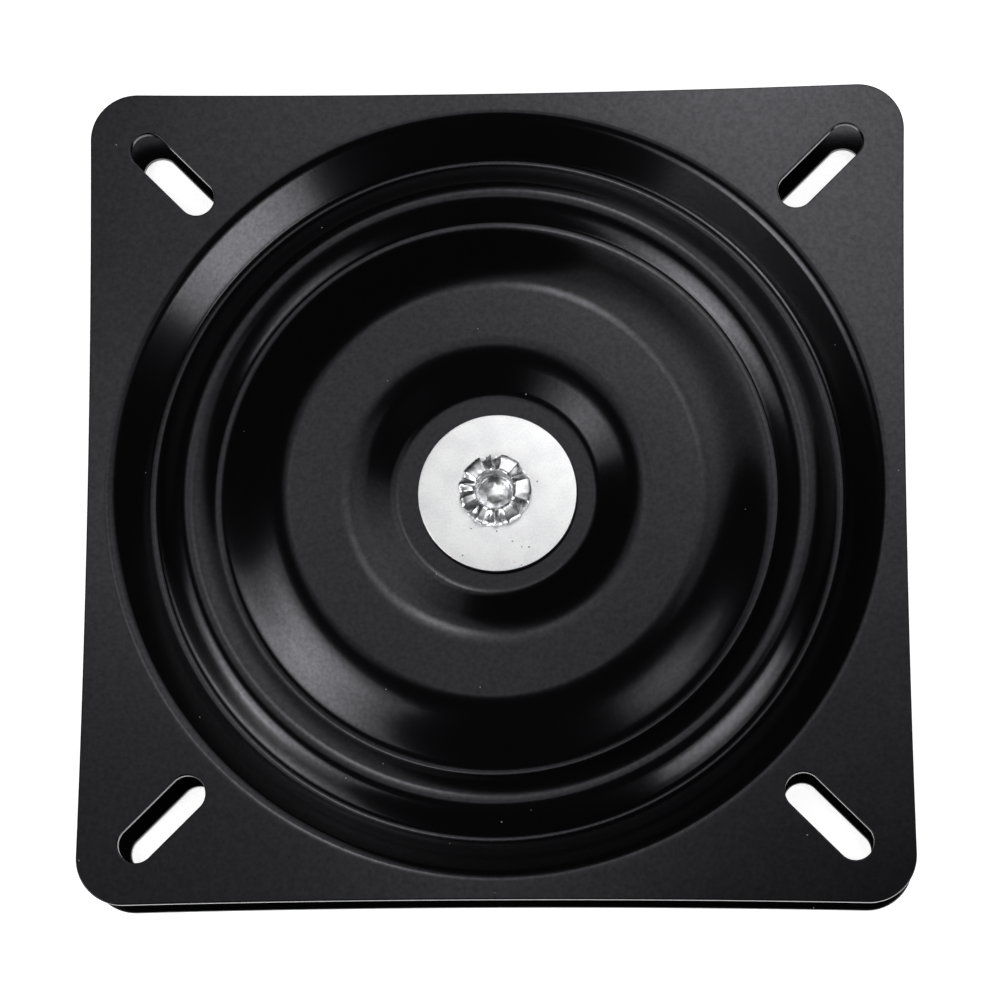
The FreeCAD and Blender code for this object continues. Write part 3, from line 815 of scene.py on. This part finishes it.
def build_object():
    """The new pieces painted, named and mounted, the CAD nodes they replace hidden, and the kept
    nodes painted.
    """
    coat = make_powder_coat()
    zinc = make_zinc_plate()
    plate = press_plate()
    twin = copy_piece(plate)
    plate.data.transform(Matrix.Translation((0, 0, TOTAL_HEIGHT * MM)))
    twin.data.transform(Matrix.Rotation(math.pi, 4, "X"))
    finish_piece(plate, "upper_pressing", coat, "turntable")
    finish_piece(twin, "lower_pressing", coat, "base")
    for piece in (plate, twin):
        apply_modifier(piece, "WEIGHTED_NORMAL", keep_sharp=True)
    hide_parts("upper_plate")
    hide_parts("lower_plate")
    upper = make_washer(UPPER_SEAT)
    upper.data.transform(Matrix.Translation((WASHER_SHIFT[0] * MM, WASHER_SHIFT[1] * MM, 0)))
    finish_piece(upper, "zinc_washer_above", zinc, "base")
    lower = make_washer(SEAT_DEPTH - WASHER_THICKNESS)
    finish_piece(lower, "zinc_washer_below", zinc, "base")
    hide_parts("upper_washer")
    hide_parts("lower_washer")
    rivet = make_rivet()
    finish_piece(rivet, "star_crimped_rivet", make_rivet_steel(), "base")
    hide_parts("centre_rivet")
    paint_node("ball_cage", make_nylon())
    bearing_steel = make_bearing_steel()
    for name in sorted(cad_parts):
        if name.startswith("ball_") and name != "ball_cage":
            paint_node(name, bearing_steel)


# Studio: camera, floor, background and lamps.

def set_camera():
    """A long lens above and slightly in front, at the angle of the reference view."""
    azimuth, tilt, roll = (math.radians(angle) for angle in CAMERA_ANGLES)
    flat = math.sin(tilt)
    away = Vector((flat * math.cos(azimuth), flat * math.sin(azimuth), math.cos(tilt)))
    place = Vector(CAMERA_TARGET) + away * CAMERA_DISTANCE
    right = (-away).cross(Vector((0, 1, 0))).normalized()
    up = right.cross(-away)
    turned_right = right * math.cos(roll) + up * math.sin(roll)
    turned_up = up * math.cos(roll) - right * math.sin(roll)
    lens = bpy.data.cameras.new("camera")
    lens.sensor_fit = "HORIZONTAL"
    lens.sensor_width = SENSOR_WIDTH
    lens.lens = FOCAL_WIDTHS * SENSOR_WIDTH
    lens.clip_start = 0.01
    lens.clip_end = 20
    camera = bpy.data.objects.new("camera", lens)
    camera.matrix_world = Matrix((
        (turned_right.x, turned_up.x, away.x, place.x * MM),
        (turned_right.y, turned_up.y, away.y, place.y * MM),
        (turned_right.z, turned_up.z, away.z, place.z * MM),
        (0, 0, 0, 1),
    ))
    bpy.context.scene.collection.objects.link(camera)
    bpy.context.scene.camera = camera


def set_floor():
    """A plain white studio floor that keeps the object's shadow."""
    deselect()
    bpy.ops.mesh.primitive_plane_add(size=FLOOR_SIDE, location=(0, 0, FLOOR_LEVEL))
    floor = bpy.context.object
    floor.name = "studio_floor"
    # White paper: matt, and bright enough to melt into the background.
    material, tree = new_material("white_paper_floor")
    rays = node(tree, "ShaderNodeLightPath")
    seen = node(
        tree, "ShaderNodeMath", {"operation": "MAXIMUM"},
        {0: rays.outputs["Is Camera Ray"], 1: rays.outputs["Is Glossy Ray"]},
    )
    paper = node(tree, "ShaderNodeBsdfDiffuse", {"Color": colour("#c8c8c8")})
    glow = node(tree, "ShaderNodeEmission", {"Color": (1, 1, 1, 1)})
    strength = node(
        tree, "ShaderNodeMath", {"operation": "MULTIPLY", 1: FLOOR_GLOW}, {0: seen.outputs[0]},
    )
    tree.links.new(strength.outputs[0], glow.inputs["Strength"])
    both = node(tree, "ShaderNodeAddShader", {}, {0: paper.outputs[0], 1: glow.outputs[0]})
    node(tree, "ShaderNodeOutputMaterial", {}, {"Surface": both.outputs[0]})
    floor.data.materials.append(material)


def set_world():
    """White behind the object for the camera, a dim room for everything else."""
    world = bpy.data.worlds.new("studio_room")
    bpy.context.scene.world = world
    world.use_nodes = True
    tree = world.node_tree
    tree.nodes.clear()
    rays = node(tree, "ShaderNodeLightPath")
    tone = node(
        tree, "ShaderNodeMix",
        {"data_type": "RGBA", "A": (0.02, 0.02, 0.02, 1), "B": (1, 1, 1, 1)},
        {"Factor": rays.outputs["Is Camera Ray"]},
    )
    back = node(
        tree, "ShaderNodeBackground", {"Strength": 1.0}, {"Color": tone.outputs["Result"]},
    )
    node(tree, "ShaderNodeOutputWorld", {}, {"Surface": back.outputs[0]})


def shade_lamp(lamp, core, edge):
    """Lets a lamp's face fade from its bright middle to its edge."""
    lamp.use_nodes = True
    tree = lamp.node_tree
    tree.nodes.clear()
    face = node(tree, "ShaderNodeNewGeometry").outputs["Parametric"]
    middle = node(
        tree, "ShaderNodeVectorMath", {"operation": "SUBTRACT", 1: (0.5, 0.5, 0)}, {0: face},
    )
    off = node(
        tree, "ShaderNodeVectorMath", {"operation": "LENGTH"}, {0: middle.outputs["Vector"]},
    )
    fade = node(
        tree, "ShaderNodeMapRange",
        {
            "interpolation_type": "SMOOTHSTEP",
            "From Min": 0.1, "From Max": 0.52, "To Min": core, "To Max": edge,
        },
        {"Value": off.outputs["Value"]},
    )
    glow = node(tree, "ShaderNodeEmission", {}, {"Strength": fade.outputs["Result"]})
    node(tree, "ShaderNodeOutputLight", {}, {"Surface": glow.outputs["Emission"]})


def add_softbox(name, azimuth, polar, half_width, half_height, core, edge):
    """A softbox facing the object, from its direction, half sizes in degrees and brightness."""
    lamp = bpy.data.lights.new(name, "AREA")
    lamp.shape = "RECTANGLE"
    lamp.size = 2 * LAMP_DISTANCE * math.tan(math.radians(half_width))
    lamp.size_y = 2 * LAMP_DISTANCE * math.tan(math.radians(half_height))
    lamp.energy = math.pi * lamp.size * lamp.size_y
    shade_lamp(lamp, core, edge)
    a, p = math.radians(azimuth), math.radians(polar)
    flat = math.sin(p)
    place = Vector((flat * math.cos(a), flat * math.sin(a), math.cos(p))) * LAMP_DISTANCE
    box = bpy.data.objects.new(name, lamp)
    box.location = place
    box.rotation_euler = place.to_track_quat("Z", "Y").to_euler()
    bpy.context.scene.collection.objects.link(box)


def set_lamps():
    """Two softboxes low in front, a pale panel behind and an uneven panel overhead."""
    add_softbox("softbox_left", 210, 55, 22, 17, 7.0, 1.6)
    add_softbox("softbox_left_tube", 211, 64, 12, 3.5, 8.5, 0.0)
    add_softbox("softbox_right", 321, 68.5, 16, 12, 8.6, 4.2)
    add_softbox("softbox_right_spill", 317, 52, 12, 5, 2.0, 0.5)
    add_softbox("back_panel", 50, 40, 27, 30, 1.7, 0.5)
    add_softbox("overhead_panel", 110, 14, 17, 14, 1.2, 0.5)
    add_softbox("overhead_panel_left", 141, 16.5, 5, 5, 1.1, 0.0)
    add_softbox("overhead_panel_far", 112, 22.5, 4.5, 4.5, 1.1, 0.0)
    add_softbox("overhead_panel_near", 165, 3.5, 5, 4.5, 1.2, 0.0)
    add_softbox("overhead_glow", 73, 18, 9, 7, 1.9, 0.0)
    add_softbox("overhead_spot", 84, 26.5, 6, 8, 7.5, 0.0)


build_object()
set_floor()
set_world()
set_camera()
set_lamps()
bpy.context.scene.view_settings.view_transform = "Standard"
